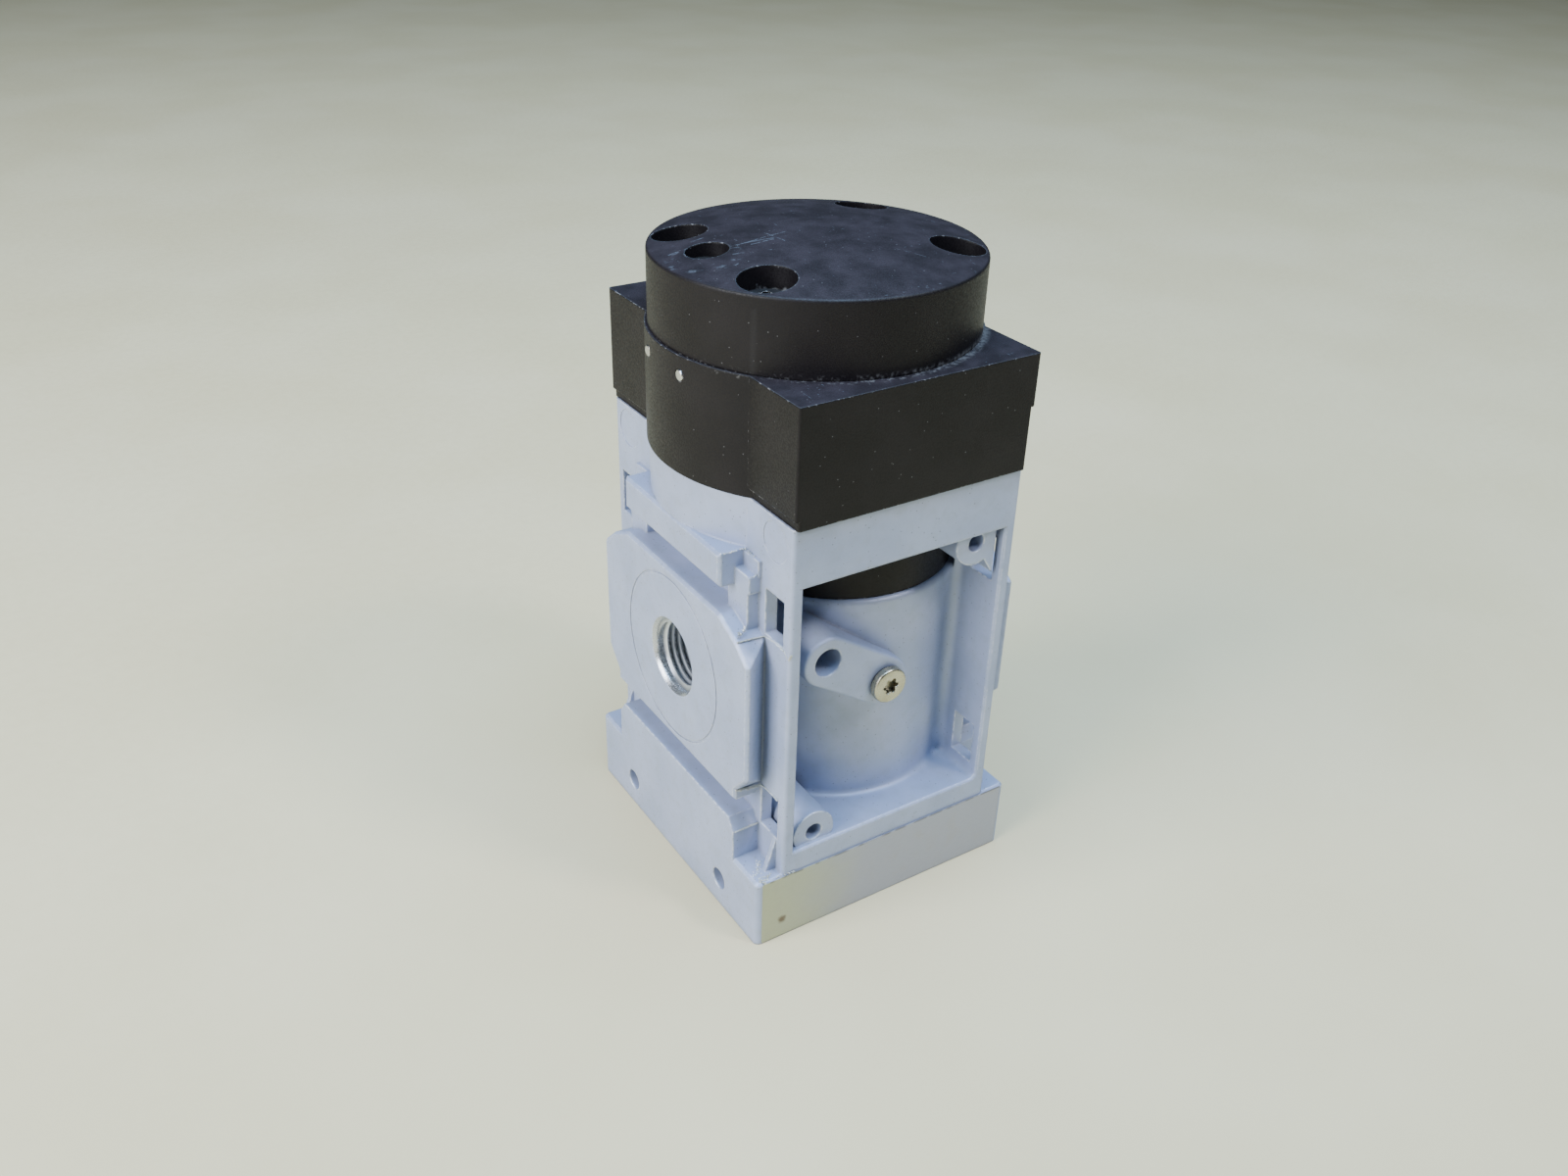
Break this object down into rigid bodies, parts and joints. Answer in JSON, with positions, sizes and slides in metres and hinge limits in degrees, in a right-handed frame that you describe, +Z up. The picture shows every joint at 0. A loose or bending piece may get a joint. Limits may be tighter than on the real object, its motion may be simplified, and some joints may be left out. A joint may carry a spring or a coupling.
{
  "type": "soft-start valve module",
  "caption": "Compressed-air soft-start valve module: grey die-cast body with threaded side ports and open front recess, black round-capped head with throttle screw.",
  "frame": {"origin": "centre of the underside of the foot", "axes": "+Z up, +X in the flow direction from inlet to outlet, -Y to the front"},
  "size_m": [0.0404, 0.0436, 0.0843],
  "materials": {
    "die_cast_aluminium": "satin coated die casting",
    "label_foil": "matt foil",
    "black_moulding": "fine grained",
    "black_rubber": "smooth",
    "zinc_steel": "zinc plated",
    "black_steel": "black oxide",
    "bright_steel": "ground",
    "spring_steel": "drawn wire",
    "brass": "turned",
    "turned_aluminium": "turned",
    "white_acetal": "moulded"
  },
  "bodies": {
    "body": {"housing": "die_cast_aluminium", "marking_label": "label_foil", "head_housing": "black_moulding", "cap_cover": "black_moulding", "head_gasket": "black_rubber", "cap_gasket": "black_rubber", "cover_screws": "black_steel", "retaining_pins": "bright_steel", "gauge_plug_screw": "zinc_steel", "gauge_plug_seal": "black_rubber", "valve_seat_ring": "brass", "seat_ring_seal": "black_rubber", "stem_guide": "white_acetal", "guide_seal": "black_rubber", "stem_seal": "black_rubber", "throttle_seat": "brass", "main_spring": "spring_steel", "column_collar": "black_moulding"},
    "main_valve": {"valve_stem": "bright_steel", "control_piston": "white_acetal", "piston_seal": "black_rubber", "poppet": "turned_aluminium", "poppet_seal": "black_rubber", "piston_nut": "zinc_steel", "poppet_nut": "zinc_steel"},
    "spindle": {"throttle_spindle": "black_steel", "spindle_seal": "black_rubber"},
    "needle": {"throttle_needle": "bright_steel"}
  },
  "joints": [
    {"name": "valve_slide", "type": "slide", "parent": "body", "child": "main_valve", "axis": [0, 0, 1], "range_m": [-0.0025, 0], "stiffness_N_per_m": 1500, "deforming": ["main_spring"]},
    {"name": "throttle_turn", "type": "hinge", "parent": "body", "child": "spindle", "pos_m": [-0.014, 0.00125, 0.07], "axis": [0, 0, 1], "range_deg": [0, 990]},
    {"name": "needle_slide", "type": "slide", "parent": "body", "child": "needle", "axis": [0, 0, 1], "range_m": [0, 0.00137]}
  ],
  "couplings": [
    {"joint": "throttle_turn", "follows": "needle_slide", "rad_per_m": 12566}
  ]
}
